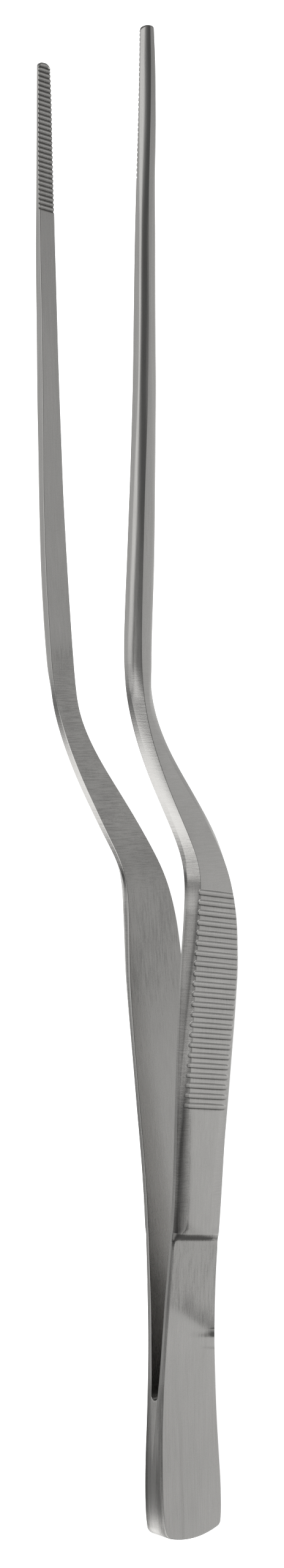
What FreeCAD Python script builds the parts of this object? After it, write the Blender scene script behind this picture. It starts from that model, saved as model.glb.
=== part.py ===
import FreeCAD, Part
import math
import os

# Offset (bayonet) dressing forceps, 200 mm, satin stainless steel.
# Millimetres. +X runs from the butt to the tips, the mirror plane between the
# two legs is Y = 0, +Z is up, on the side to which the shanks and jaws are
# offset. The forceps lies on the lower narrow edges of its butt and handles.
# Left leg: +Y.  Right leg: -Y.
# The tables below measure x from the butt end. The finished pieces are moved
# by half the length, so the origin is at mid-length, on the resting plane.

# ----------------------------------------------------------------- dimensions
LENGTH = 200.0            # butt end to tip
BUTT_END_SAGITTA = 1.15   # crown of the butt's end
BUTT_CORNER_R = 1.3       # corners of the butt's end
TIP_CORNER_TOP_R = 0.68   # corners of each tip
TIP_CORNER_BOTTOM_R = 0.80
BELLY_FLAT = (71.0, 76.0) # flats on the lower edges that the part lies on
HEEL_FLAT = (4.0, 6.0)
FLAT_CUT = 0.02           # ground off there, which leaves them truly plane
WELD_START_X = 10.3       # where the inner faces part
WELD_FRONT = 0.004        # half width of the weld's front edge
SLOT_END_X = 19.0         # bottom of the slot between the legs
SLOT_END_R = 0.62         # its rounded bottom
LEAF_END_X = 40.2         # thin spring leaf ends
STEP_END_X = 41.3         # full handle thickness from here

GROOVE_COUNT = 22         # thumb grooves across each handle
GROOVE_FIRST_X = 87.3     # the one nearest the tips, at mid-height
GROOVE_PITCH = 1.364
GROOVE_R = 0.50           # form radius of a groove
GROOVE_DEPTH = 0.20
GROOVE_SLANT_DEG = 7.5    # lower end nearer the butt

TOOTH_COUNT = 31          # jaw serrations on each leg
TOOTH_END_X = 179.6       # end of the serrated zone
TOOTH_PITCH = 0.647
TOOTH_DEPTH = 0.24
TOOTH_SLANT_DEG = 5.5

SHOULDER_STEPS = 5        # facets on each rounded shoulder
SHOULDER_END_DEG = 60.0   # where the rounded shoulder meets the outer flat
JAW_SHOULDER_DEG = 75.0   # the same at the jaws
GRIP_SHOULDER_DEG = 80.0  # and below the thumb grooves
JAW_BEVEL = 0.15          # how far the jaws' shoulder is drawn to its chord
RAMP_BEVEL = 0.85         # the same on the ramp, where it is nearly a bevel
JAW_LOWER_LESS = 0.55     # the lower shoulder of the jaws drops this much less
JAW_FORM = (174.0, 188.0) # shank to jaw
RAMP_FORM = (84.0, 91.0, 112.5, 118.0)
GRIP_FORM = (54.0, 66.0)

# upper narrow edge of a leg, (x, z)
TOP = [(-2, 10.0), (0, 10.35), (2.8, 10.81), (4.8, 10.96), (8.9, 10.98),
       (13, 10.84), (17, 10.61), (21, 10.33), (25, 10.07), (29, 9.84),
       (33, 9.65), (37, 9.47), (41, 9.31), (45, 9.21), (50, 9.20),
       (55, 9.31), (60, 9.44), (66, 9.56), (72, 9.62), (76, 9.59),
       (80, 9.42), (83, 9.26), (86, 9.19), (88, 9.26), (90, 9.53),
       (92, 10.16), (94, 11.11), (96, 12.20), (98, 13.32), (100, 14.44),
       (102, 15.54), (104, 16.56), (106, 17.49), (108, 18.32),
       (110, 19.03), (112, 19.63), (114, 20.08), (116, 20.37),
       (119, 20.61), (122, 20.68), (126, 20.70), (131, 20.67),
       (140, 20.50), (150, 20.235), (160, 20.03), (170, 19.915),
       (180, 19.76), (190, 19.515), (200, 19.22), (202, 19.15)]
# lower narrow edge, (x, z)
BOTTOM = [(-2, 0.65), (0, 0.35), (2.7, 0.05), (4, 0.0), (6, 0.0),
          (8.8, 0.12),
          (12.8, 0.34), (16.9, 0.54), (21, 0.76), (25, 0.95), (29, 1.08),
          (33, 1.13), (37, 1.10), (41, 0.98), (45, 0.85), (50, 0.74),
          (54, 0.63), (58, 0.43), (62, 0.24), (66, 0.10), (71, 0.0),
          (76, 0.0), (78, 0.10), (80, 0.28), (82.5, 0.56), (85, 1.00),
          (88, 1.77), (90, 2.50), (92, 3.42), (94, 4.53), (96, 5.81),
          (98, 7.22), (100, 8.71), (102, 10.23), (104, 11.73),
          (106, 13.12), (108, 14.33), (110, 15.32), (112, 16.03),
          (114, 16.42), (116, 16.61), (119, 16.77), (122, 16.86),
          (126, 16.90), (131, 16.93), (140, 17.035), (150, 17.12),
          (160, 17.25), (170, 17.27), (180, 17.235), (190, 17.18),
          (196, 17.22), (200, 17.38), (202, 17.50)]
# inner face, distance from the mirror plane, (x, n)
INNER = [(10.3, 0.0), (12, 0.125), (14, 0.265), (17, 0.475), (21, 0.735),
         (25, 0.98), (29, 1.21), (33, 1.49), (37, 1.86), (41, 2.20),
         (45, 2.53), (50, 2.93), (55, 3.35), (60, 3.79), (65, 4.22),
         (70, 4.66), (75, 5.07), (80, 5.41), (84, 5.66), (87, 5.89),
         (90, 6.20), (92, 6.48), (94, 6.73), (96, 6.88), (98, 6.94),
         (102, 7.01), (106, 7.10), (110, 7.23), (114, 7.38), (118, 7.57), (122, 7.81), (126, 8.115), (130, 8.42),
         (135, 8.725), (141, 9.035), (147, 9.25), (153, 9.425),
         (159, 9.545), (165, 9.68), (171, 9.85), (177, 10.05),
         (183, 10.23), (189, 10.395), (200, 10.52), (202, 10.54)]
# butt and spring leaf: outer flat, flat width of the narrow side, shoulder
LEAF_OUTER = [(-2, 2.06), (0, 2.04), (2.7, 2.00), (4.7, 1.95), (8.8, 1.86),
              (12.8, 1.76), (16.9, 1.70), (21, 1.75), (25, 1.88),
              (29, 2.12), (33, 2.39), (37, 2.68), (41, 2.97), (43, 3.12)]
LEAF_EDGE = [(-2, 0.50), (8, 0.38), (17, 0.29), (21, 0.33), (25, 0.38),
             (29, 0.42), (33, 0.41), (37, 0.36), (43, 0.30)]
LEAF_SHOULDER = [(-2, 0.26), (8, 0.25), (17, 0.20), (25, 0.19),
                 (29, 0.21), (33, 0.24), (43, 0.24)]
# handle, ramp, shank and jaw: outer flat, narrow side, shoulder drop
ARM_OUTER = [(39, 3.20), (41.3, 3.35), (45.3, 3.63), (49.3, 3.96),
             (53.4, 4.34), (57.4, 4.81), (61.5, 5.31), (65.5, 5.86),
             (69.6, 6.43), (73.7, 6.95), (77.7, 7.37), (81.8, 7.75),
             (84.8, 8.02), (87.9, 8.27), (89.9, 8.44), (91.9, 8.58),
             (94, 8.67), (97, 8.70), (100, 8.72), (104, 8.82),
             (108, 8.95), (112, 9.16), (116, 9.47), (119.3, 9.73),
             (122.3, 9.97), (126.4, 10.24), (130.4, 10.49),
             (134.5, 10.70), (140.6, 10.915), (146.6, 11.095),
             (152.7, 11.245), (158.8, 11.36), (164.9, 11.445),
             (171, 11.515), (177, 11.60), (183, 11.71), (189, 11.81),
             (200, 11.75), (202, 11.74)]
ARM_SIDE = [(39, 0.62), (41.2, 0.60), (49, 0.60), (57, 0.56),
            (65.5, 0.43), (73.7, 0.30), (79, 0.26), (84.8, 0.36),
            (88, 0.53), (91.9, 0.85), (96, 1.02), (100, 1.12),
            (104, 1.14), (108, 1.10), (112, 1.00), (116, 0.78),
            (119, 0.74), (122, 0.78), (130, 0.80), (140, 0.80),
            (147, 0.92), (155, 1.11), (160, 1.10), (165, 1.05),
            (170, 0.98), (175, 0.85), (180, 0.60), (186, 0.38),
            (202, 0.34)]
ARM_SHOULDER = [(39, 2.00), (49, 1.98), (57.4, 1.68), (65.5, 1.44),
                (69.6, 1.33), (73.7, 1.22), (77.7, 1.10), (81.8, 1.00),
                (85, 0.96), (88, 0.95), (92, 1.03), (96, 1.12),
                (100, 1.21), (104, 1.30), (108, 1.34), (112, 1.40),
                (116, 1.40), (119, 1.36), (122, 1.28), (126, 1.215),
                (130, 1.16), (134, 1.11), (141, 1.10), (150, 1.16),
                (160, 1.17), (170, 1.08), (177, 1.015), (183, 1.02),
                (189, 1.05), (202, 0.96)]


# ------------------------------------------------------------- smooth curves
class Curve:
    """Natural cubic spline through (x, value) points."""

    def __init__(self, pts):
        self.x = [float(p[0]) for p in pts]
        self.y = [float(p[1]) for p in pts]
        n = len(pts)
        h = [self.x[i + 1] - self.x[i] for i in range(n - 1)]
        a = [0.0] * n
        b = [1.0] * n
        c = [0.0] * n
        d = [0.0] * n
        for i in range(1, n - 1):
            a[i] = h[i - 1]
            b[i] = 2.0 * (h[i - 1] + h[i])
            c[i] = h[i]
            d[i] = 6.0 * ((self.y[i + 1] - self.y[i]) / h[i]
                          - (self.y[i] - self.y[i - 1]) / h[i - 1])
        for i in range(1, n):
            w = a[i] / b[i - 1]
            b[i] -= w * c[i - 1]
            d[i] -= w * d[i - 1]
        m = [0.0] * n
        m[n - 1] = d[n - 1] / b[n - 1]
        for i in range(n - 2, -1, -1):
            m[i] = (d[i] - c[i] * m[i + 1]) / b[i]
        self.m = m

    def __call__(self, x):
        xs = self.x
        if x <= xs[0]:
            i = 0
            x = xs[0]
        elif x >= xs[-1]:
            i = len(xs) - 2
            x = xs[-1]
        else:
            i = 0
            while xs[i + 1] < x:
                i += 1
        h = xs[i + 1] - xs[i]
        t0 = (xs[i + 1] - x) / h
        t1 = (x - xs[i]) / h
        return (t0 * self.y[i] + t1 * self.y[i + 1]
                + ((t0 ** 3 - t0) * self.m[i]
                   + (t1 ** 3 - t1) * self.m[i + 1]) * h * h / 6.0)


top = Curve(TOP)
bottom_curve = Curve(BOTTOM)
inner_curve = Curve(INNER)
leaf_outer = Curve(LEAF_OUTER)
leaf_edge = Curve(LEAF_EDGE)
leaf_shoulder = Curve(LEAF_SHOULDER)
arm_outer = Curve(ARM_OUTER)
arm_side = Curve(ARM_SIDE)
arm_shoulder = Curve(ARM_SHOULDER)


def bottom(x):
    for a, b in (HEEL_FLAT, BELLY_FLAT):
        if a <= x <= b:
            return -FLAT_CUT
    return bottom_curve(x)


def inner(x):
    if x <= WELD_START_X:
        return 0.0
    return max(0.0, inner_curve(x))


def leaf_params(x):
    # (outer flat, end of the narrow side's flat, shoulder drop)
    no = leaf_outer(x)
    return no, no - leaf_edge(x), leaf_shoulder(x)


def arm_params(x):
    return arm_outer(x), inner(x) + arm_side(x), arm_shoulder(x)


def step_params(x):
    # the sloping step from the spring leaf up to the handle
    a = leaf_params(x)
    b = arm_params(x)
    t = min(1.0, max(0.0, (x - LEAF_END_X) / (STEP_END_X - LEAF_END_X)))
    return tuple(a[i] + t * (b[i] - a[i]) for i in range(3))


def smooth(x, a, b):
    t = min(1.0, max(0.0, (x - a) / (b - a)))
    return t * t * (3.0 - 2.0 * t)


def shoulder_form(x):
    """(jaw, end angle, bevel) of the rounded shoulder at x."""
    jaw = smooth(x, *JAW_FORM)
    grip = smooth(x, LEAF_END_X, STEP_END_X) * (1 - smooth(x, *GRIP_FORM))
    ramp = smooth(x, RAMP_FORM[0], RAMP_FORM[1]) \
        * (1 - smooth(x, RAMP_FORM[2], RAMP_FORM[3]))
    end = SHOULDER_END_DEG + jaw * (JAW_SHOULDER_DEG - SHOULDER_END_DEG) \
        + grip * (GRIP_SHOULDER_DEG - SHOULDER_END_DEG)
    return jaw, math.radians(end), jaw * JAW_BEVEL + ramp * RAMP_BEVEL


def section(x, params, ni, side):
    """Closed cross-section of a leg at x. side is +1 or -1 (sign of Y)."""
    no, ns, h = params
    zt = top(x)
    zb = bottom(x)
    jaw, ps, q = shoulder_form(x)
    a = (no - ns) / math.sin(ps)
    pts = [(ni, zb), (ni, zt)]
    upper, lower = [], []
    for arc, drop in ((upper, h), (lower, h - jaw * JAW_LOWER_LESS)):
        b = drop / (1.0 - math.cos(ps))
        for k in range(SHOULDER_STEPS + 1):
            s = k / float(SHOULDER_STEPS)
            t = ps * s
            arc.append((ns + (1 - q) * a * math.sin(t) + q * s * (no - ns),
                        (1 - q) * b * (1.0 - math.cos(t)) + q * s * drop))
    for n, dz in upper:
        pts.append((n, zt - dz))
    for n, dz in reversed(lower):
        pts.append((n, zb + dz))
    vs = [FreeCAD.Vector(x, side * n, z) for n, z in pts]
    return Part.makePolygon(vs + [vs[0]])


def loft(stations, params, side, ni=None):
    wires = []
    for x in stations:
        n = inner(x) if ni is None else ni(x)
        wires.append(section(x, params(x), n, side))
    return Part.makeLoft(wires, True, True)


def prism_xz(face, y0, y1):
    f = face.copy()
    f.translate(FreeCAD.Vector(0, y0, 0))
    return f.extrude(FreeCAD.Vector(0, y1 - y0, 0))


def butt_outline():
    """Side view of the butt, crowned end with rounded corners."""
    zt, zb = top(0.0) + 2.0, bottom(0.0) - 2.0
    zc = 0.5 * (top(3.0) + bottom(3.0))
    hw = 0.5 * (top(3.0) - bottom(3.0))
    r = (hw * hw + BUTT_END_SAGITTA ** 2) / (2.0 * BUTT_END_SAGITTA)
    # crowned end: circle of radius r centred at (r, zc)
    disc = Part.Face(Part.Wire([Part.makeCircle(
        r, FreeCAD.Vector(r, 0, zc), FreeCAD.Vector(0, -1, 0))]))
    box = Part.Face(Part.makePolygon([
        FreeCAD.Vector(-1, 0, zb), FreeCAD.Vector(SLOT_END_X + 1, 0, zb),
        FreeCAD.Vector(SLOT_END_X + 1, 0, zt), FreeCAD.Vector(-1, 0, zt),
        FreeCAD.Vector(-1, 0, zb)]))
    return disc, box


def corner_cutter(xc, zc, r, sx, sz, y0, y1):
    """What is removed to round a corner: a square less its disc."""
    sq = Part.makeBox(r + 3, y1 - y0, r + 3,
                      FreeCAD.Vector(xc if sx > 0 else xc - r - 3, y0,
                                     zc if sz > 0 else zc - r - 3))
    cyl = Part.makeCylinder(r, y1 - y0 + 2, FreeCAD.Vector(xc, y0 - 1, zc),
                            FreeCAD.Vector(0, 1, 0))
    return sq.cut(cyl)


def steps(x0, x1, n):
    return [x0 + (x1 - x0) * i / n for i in range(n + 1)]


def ground_flat(body):
    """The part lies on flats ground at z = 0."""
    return body.cut(Part.makeBox(LENGTH + 20, 60, 5,
                                 FreeCAD.Vector(-10, -30, -5)))


def clean(shape):
    s = shape.Solids
    if len(s) != 1:
        s = sorted(s, key=lambda q: -q.Volume)
    return s[0]


# --------------------------------------------------------------- butt halves
def make_butt(side):
    xs = [-1.0, 0.0, 1.5, 2.8, 4.0, 6.0, 8.0, WELD_START_X] \
        + steps(WELD_START_X, SLOT_END_X, 4)[1:]

    def parting(x):
        # the weld's front edge is 8 microns wide, and the halves clear it
        if abs(x - WELD_START_X) < 1e-6:
            return WELD_FRONT
        return inner(x)
    body = loft(xs, leaf_params, side, parting)
    zc = 0.5 * (top(3.0) + bottom(3.0))
    hw = 0.5 * (top(3.0) - bottom(3.0))
    r = (hw * hw + BUTT_END_SAGITTA ** 2) / (2.0 * BUTT_END_SAGITTA)
    crown = Part.makeCylinder(r, 12, FreeCAD.Vector(r, -6, zc),
                              FreeCAD.Vector(0, 1, 0))
    body = body.common(crown)
    # round the two corners of the crowned end
    for sz, edge in ((1, top), (-1, bottom)):
        rc = BUTT_CORNER_R
        zcc = edge(1.6) - sz * rc
        # centre on the circle of radius r - rc about (r, zc)
        xcc = r - math.sqrt((r - rc) ** 2 - (zcc - zc) ** 2)
        body = body.cut(corner_cutter(xcc, zcc, rc, -1, sz, -6, 6))
    return clean(ground_flat(body))


# ------------------------------------------------------------- spring leaves
def make_leaf(side):
    return clean(loft(steps(SLOT_END_X, LEAF_END_X, 8), leaf_params, side))


# ---------------------------------------------------------------------- arms
def make_arm(side):
    lower = loft([LEAF_END_X, STEP_END_X], step_params, side)
    xs = [STEP_END_X, 45, 49, 53, 57, 61, 65, 68, 71, 76, 79, 81.5, 84, 86,
          88, 90, 92, 94, 96, 98, 100, 102, 104, 106, 108, 110, 112, 114,
          116, 119, 123, 128, 134, 141, 149, 158, 168, TOOTH_END_X - 1.0,
          190, 195.5, 198, LENGTH + 0.5]
    upper = loft(xs, arm_params, side)
    arm = lower.fuse(upper)

    # thumb grooves across the outer flat
    cutters = []
    for k in range(GROOVE_COUNT):
        x = GROOVE_FIRST_X - k * GROOVE_PITCH
        zc = 0.5 * (top(x) + bottom(x))
        n = arm_outer(x)
        slope = (arm_outer(x + 0.7) - arm_outer(x - 0.7)) / 1.4
        nn = math.sqrt(1 + slope * slope)
        # centre of the form cutter, outside the flat
        off = GROOVE_R - GROOVE_DEPTH
        cx = x - slope / nn * off
        cn = n + 1.0 / nn * off
        d = FreeCAD.Vector(math.tan(math.radians(GROOVE_SLANT_DEG)), 0, 1)
        d.normalize()
        start = FreeCAD.Vector(cx, side * cn, zc) - d * 6.0
        cutters.append(Part.makeCylinder(GROOVE_R, 12.0, start, d))
    arm = arm.cut(Part.makeCompound(cutters))

    # jaw teeth: V grooves across the inner face, half a pitch apart on the
    # two legs so that they interlock when the jaws close
    cutters = []
    shift = 0.0 if side > 0 else 0.5 * TOOTH_PITCH
    for k in range(TOOTH_COUNT):
        x = TOOTH_END_X + 0.35 + shift + k * TOOTH_PITCH
        if x > LENGTH - 0.3:
            continue
        ni = inner(x)
        w = 0.40 * TOOTH_PITCH
        zc = 0.5 * (top(x) + bottom(x))
        t = math.tan(math.radians(TOOTH_SLANT_DEG))
        z0, z1 = zc - 3.0, zc + 3.0

        def tri(z):
            dx = t * (z - zc)
            e = 0.25
            ww = w * (1 + e / TOOTH_DEPTH)
            return Part.makePolygon([
                FreeCAD.Vector(x + dx, side * (ni + TOOTH_DEPTH), z),
                FreeCAD.Vector(x + dx - ww, side * (ni - e), z),
                FreeCAD.Vector(x + dx + ww, side * (ni - e), z),
                FreeCAD.Vector(x + dx, side * (ni + TOOTH_DEPTH), z)])
        cutters.append(Part.makeLoft([tri(z0), tri(z1)], True, True))
    arm = arm.cut(Part.makeCompound(cutters))

    # square the end off at the tip and round its corners
    arm = arm.cut(Part.makeBox(5, 40, 40, FreeCAD.Vector(LENGTH, -20, 0)))
    for sz, edge, rc in ((1, top, TIP_CORNER_TOP_R),
                         (-1, bottom, TIP_CORNER_BOTTOM_R)):
        y0, y1 = (5, 15) if side > 0 else (-15, -5)
        arm = arm.cut(corner_cutter(LENGTH - rc, edge(LENGTH - rc) - sz * rc,
                                    rc, 1, sz, y0, y1))
    return clean(ground_flat(arm))


# ---------------------------------------------------------------- butt weld
def make_weld():
    end = SLOT_END_X + SLOT_END_R
    wires = []
    for x in [WELD_START_X] + steps(WELD_START_X, SLOT_END_X, 4)[1:] + [end]:
        n = max(WELD_FRONT, inner(x))
        zt, zb = top(x), bottom(x)
        vs = [FreeCAD.Vector(x, -n, zb), FreeCAD.Vector(x, -n, zt),
              FreeCAD.Vector(x, n, zt), FreeCAD.Vector(x, n, zb)]
        wires.append(Part.makePolygon(vs + [vs[0]]))
    weld = Part.makeLoft(wires[1:], True, True)
    first = wires[0]
    nose = Part.makeLoft([first, wires[1]], True, True)
    weld = nose.fuse(weld)
    cyl = Part.makeCylinder(SLOT_END_R, 20,
                            FreeCAD.Vector(SLOT_END_X + SLOT_END_R, 0, -2),
                            FreeCAD.Vector(0, 0, 1))
    return clean(weld.cut(cyl))


os.makedirs("parts", exist_ok=True)
made = {
    "left_butt_half": make_butt(+1),
    "right_butt_half": make_butt(-1),
    "left_spring_leaf": make_leaf(+1),
    "right_spring_leaf": make_leaf(-1),
    "left_arm": make_arm(+1),
    "right_arm": make_arm(-1),
    "butt_weld": make_weld(),
}
total = 0.0
moment = [0.0, 0.0, 0.0]
for name, shape in made.items():
    shape.translate(FreeCAD.Vector(-0.5 * LENGTH, 0, 0))
    shape.exportStep("parts/%s.step" % name)
    bb = shape.BoundBox
    c = shape.CenterOfMass
    total += shape.Volume
    for i, v in enumerate((c.x, c.y, c.z)):
        moment[i] += v * shape.Volume
    print("%-18s valid=%s solids=%d faces=%d vol=%.1f  x %.2f..%.2f  y %.2f..%.2f  z %.2f..%.2f"
          % (name, shape.isValid(), len(shape.Solids), len(shape.Faces),
             shape.Volume, bb.XMin, bb.XMax, bb.YMin, bb.YMax, bb.ZMin, bb.ZMax))
print("volume %.1f mm3, centre of mass %.2f %.2f %.2f"
      % (total, moment[0] / total, moment[1] / total, moment[2] / total))
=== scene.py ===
import math

import bpy
import numpy as np
from mathutils import Matrix, Vector


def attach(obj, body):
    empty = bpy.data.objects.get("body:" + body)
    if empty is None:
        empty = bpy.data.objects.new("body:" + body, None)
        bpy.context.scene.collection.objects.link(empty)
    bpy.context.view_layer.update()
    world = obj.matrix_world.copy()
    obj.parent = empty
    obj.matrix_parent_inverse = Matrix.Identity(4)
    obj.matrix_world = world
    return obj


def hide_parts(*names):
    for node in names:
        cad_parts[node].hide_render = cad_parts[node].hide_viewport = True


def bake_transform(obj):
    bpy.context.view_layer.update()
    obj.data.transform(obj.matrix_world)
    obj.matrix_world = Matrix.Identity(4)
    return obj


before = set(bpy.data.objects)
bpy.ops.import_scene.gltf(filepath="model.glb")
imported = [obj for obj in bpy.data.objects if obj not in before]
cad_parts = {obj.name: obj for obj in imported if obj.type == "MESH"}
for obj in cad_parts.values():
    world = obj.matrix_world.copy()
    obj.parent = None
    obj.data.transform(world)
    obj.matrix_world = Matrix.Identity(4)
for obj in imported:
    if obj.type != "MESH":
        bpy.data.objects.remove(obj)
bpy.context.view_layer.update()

# Offset dressing forceps in satin stainless steel. The tables are in
# millimetres, x from the butt end; the model is in metres with its origin at
# mid-length, so x is moved by half the length at the very end.
MM = 0.001
LENGTH = 200.0

# upper narrow edge of a leg, (x, z)
TOP = [(-2, 10.0), (0, 10.35), (2.8, 10.81), (4.8, 10.96), (8.9, 10.98),
       (13, 10.84), (17, 10.61), (21, 10.33), (25, 10.07), (29, 9.84),
       (33, 9.65), (37, 9.47), (41, 9.31), (45, 9.21), (50, 9.20),
       (55, 9.31), (60, 9.44), (66, 9.56), (72, 9.62), (76, 9.59),
       (80, 9.42), (83, 9.26), (86, 9.19), (88, 9.26), (90, 9.53),
       (92, 10.16), (94, 11.11), (96, 12.20), (98, 13.32), (100, 14.44),
       (102, 15.54), (104, 16.56), (106, 17.49), (108, 18.32),
       (110, 19.03), (112, 19.63), (114, 20.08), (116, 20.37),
       (119, 20.61), (122, 20.68), (126, 20.70), (131, 20.67),
       (140, 20.50), (150, 20.235), (160, 20.03), (170, 19.915),
       (180, 19.76), (190, 19.515), (200, 19.22), (202, 19.15)]
# lower narrow edge, (x, z)
BOTTOM = [(-2, 0.65), (0, 0.35), (2.7, 0.05), (4, 0.0), (6, 0.0),
          (8.8, 0.12), (12.8, 0.34), (16.9, 0.54), (21, 0.76), (25, 0.95),
          (29, 1.08), (33, 1.13), (37, 1.10), (41, 0.98), (45, 0.85),
          (50, 0.74), (54, 0.63), (58, 0.43), (62, 0.24), (66, 0.10),
          (71, 0.0), (76, 0.0), (78, 0.10), (80, 0.28), (82.5, 0.56),
          (85, 1.00), (88, 1.77), (90, 2.50), (92, 3.42), (94, 4.53),
          (96, 5.81), (98, 7.22), (100, 8.71), (102, 10.23), (104, 11.73),
          (106, 13.12), (108, 14.33), (110, 15.32), (112, 16.03),
          (114, 16.42), (116, 16.61), (119, 16.77), (122, 16.86),
          (126, 16.90), (131, 16.93), (140, 17.035), (150, 17.12),
          (160, 17.25), (170, 17.27), (180, 17.235), (190, 17.18),
          (196, 17.22), (200, 17.38), (202, 17.50)]
BELLY_FLAT = (71.0, 76.0)
HEEL_FLAT = (4.0, 6.0)
# inner face, distance from the mirror plane, (x, n)
INNER = [(10.3, 0.0), (12, 0.125), (14, 0.265), (17, 0.475), (21, 0.735),
         (25, 0.98), (29, 1.21), (33, 1.49), (37, 1.86), (41, 2.20),
         (45, 2.53), (50, 2.93), (55, 3.35), (60, 3.79), (65, 4.22),
         (70, 4.66), (75, 5.07), (80, 5.41), (84, 5.66), (87, 5.89),
         (90, 6.20), (92, 6.48), (94, 6.73), (96, 6.88), (98, 6.94),
         (102, 7.01), (106, 7.10), (110, 7.23), (114, 7.38), (118, 7.57), (122, 7.81), (126, 8.115), (130, 8.42),
         (135, 8.725), (141, 9.035), (147, 9.25), (153, 9.425),
         (159, 9.545), (165, 9.68), (171, 9.85), (177, 10.05),
         (183, 10.23), (189, 10.395), (200, 10.52), (202, 10.54)]
# butt and spring leaf: outer flat, flat width of the narrow side, shoulder
LEAF_OUTER = [(-2, 2.06), (0, 2.04), (2.7, 2.00), (4.7, 1.95), (8.8, 1.86),
              (12.8, 1.76), (16.9, 1.70), (21, 1.75), (25, 1.88),
              (29, 2.12), (33, 2.39), (37, 2.68), (41, 2.97), (43, 3.12)]
LEAF_EDGE = [(-2, 0.50), (8, 0.38), (17, 0.29), (21, 0.33), (25, 0.38),
             (29, 0.42), (33, 0.41), (37, 0.36), (43, 0.30)]
LEAF_SHOULDER = [(-2, 0.26), (8, 0.25), (17, 0.20), (25, 0.19),
                 (29, 0.21), (33, 0.24), (43, 0.24)]
# handle, ramp, shank and jaw: outer flat, narrow side, shoulder drop
ARM_OUTER = [(39, 3.20), (41.3, 3.35), (45.3, 3.63), (49.3, 3.96),
             (53.4, 4.34), (57.4, 4.81), (61.5, 5.31), (65.5, 5.86),
             (69.6, 6.43), (73.7, 6.95), (77.7, 7.37), (81.8, 7.75),
             (84.8, 8.02), (87.9, 8.27), (89.9, 8.44), (91.9, 8.58),
             (94, 8.67), (97, 8.70), (100, 8.72), (104, 8.82),
             (108, 8.95), (112, 9.16), (116, 9.47), (119.3, 9.73),
             (122.3, 9.97), (126.4, 10.24), (130.4, 10.49),
             (134.5, 10.70), (140.6, 10.915), (146.6, 11.095),
             (152.7, 11.245), (158.8, 11.36), (164.9, 11.445),
             (171, 11.515), (177, 11.60), (183, 11.71), (189, 11.81),
             (200, 11.75), (202, 11.74)]
ARM_SIDE = [(39, 0.62), (41.2, 0.60), (49, 0.60), (57, 0.56),
            (65.5, 0.43), (73.7, 0.30), (79, 0.26), (84.8, 0.36),
            (88, 0.53), (91.9, 0.85), (96, 1.02), (100, 1.12),
            (104, 1.14), (108, 1.10), (112, 1.00), (116, 0.78),
            (119, 0.74), (122, 0.78), (130, 0.80), (140, 0.80),
            (147, 0.92), (155, 1.11), (160, 1.10), (165, 1.05),
            (170, 0.98), (175, 0.85), (180, 0.60), (186, 0.38),
            (202, 0.34)]
ARM_SHOULDER = [(39, 2.00), (49, 1.98), (57.4, 1.68), (65.5, 1.44),
                (69.6, 1.33), (73.7, 1.22), (77.7, 1.10), (81.8, 1.00),
                (85, 0.96), (88, 0.95), (92, 1.03), (96, 1.12),
                (100, 1.21), (104, 1.30), (108, 1.34), (112, 1.40),
                (116, 1.40), (119, 1.36), (122, 1.28), (126, 1.215),
                (130, 1.16), (134, 1.11), (141, 1.10), (150, 1.16),
                (160, 1.17), (170, 1.08), (177, 1.015), (183, 1.02),
                (189, 1.05), (202, 0.96)]

WELD_START_X = 10.3
SLOT_END_X = 19.0
SLOT_END_R = 0.62
LEAF_END_X = 40.2
STEP_END_X = 41.3

GROOVE_COUNT = 22
GROOVE_FIRST_X = 87.3
GROOVE_PITCH = 1.364
GROOVE_SLANT = math.tan(math.radians(7.5))

TOOTH_COUNT = 31
TOOTH_START_X = 179.95
TOOTH_PITCH = 0.647
TOOTH_DEPTH = 0.24
TOOTH_SLANT = math.tan(math.radians(5.5))

SHOULDER_END = math.radians(60.0)
JAW_SHOULDER_END = math.radians(75.0)
GRIP_SHOULDER_END = math.radians(80.0)
JAW_BEVEL = 0.15
RAMP_BEVEL = 0.85
JAW_LOWER_LESS = 0.55
JAW_FORM = (174.0, 188.0)
RAMP_FORM = (84.0, 91.0, 112.5, 118.0)
GRIP_FORM = (54.0, 66.0)
BUTT_CROWN = 0.04          # the butt's narrow sides are slightly rounded
BUTT_SAGITTA = 1.15
BUTT_CORNER_R = 0.95       # upper corner of the butt's end
BUTT_LOW_CORNER_R = 0.60   # lower corner
TIP_CORNER_TOP_R = 0.68
TIP_CORNER_BOTTOM_R = 0.80


class Curve:
    """Natural cubic spline through (x, value) points, for arrays."""

    def __init__(self, pts):
        self.x = np.array([p[0] for p in pts], float)
        self.y = np.array([p[1] for p in pts], float)
        n = len(pts)
        h = np.diff(self.x)
        a = np.zeros((n, n))
        d = np.zeros(n)
        a[0, 0] = a[-1, -1] = 1.0
        for i in range(1, n - 1):
            a[i, i - 1] = h[i - 1]
            a[i, i] = 2.0 * (h[i - 1] + h[i])
            a[i, i + 1] = h[i]
            d[i] = 6.0 * ((self.y[i + 1] - self.y[i]) / h[i]
                          - (self.y[i] - self.y[i - 1]) / h[i - 1])
        self.m = np.linalg.solve(a, d)

    def __call__(self, x):
        x = np.clip(np.asarray(x, float), self.x[0], self.x[-1])
        i = np.clip(np.searchsorted(self.x, x) - 1, 0, len(self.x) - 2)
        h = self.x[i + 1] - self.x[i]
        t0 = (self.x[i + 1] - x) / h
        t1 = (x - self.x[i]) / h
        return (t0 * self.y[i] + t1 * self.y[i + 1]
                + ((t0 ** 3 - t0) * self.m[i]
                   + (t1 ** 3 - t1) * self.m[i + 1]) * h * h / 6.0)


top = Curve(TOP)
bottom_curve = Curve(BOTTOM)
inner_curve = Curve(INNER)
leaf_outer = Curve(LEAF_OUTER)
leaf_edge = Curve(LEAF_EDGE)
leaf_shoulder = Curve(LEAF_SHOULDER)
arm_outer = Curve(ARM_OUTER)
arm_side = Curve(ARM_SIDE)
arm_shoulder = Curve(ARM_SHOULDER)


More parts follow.
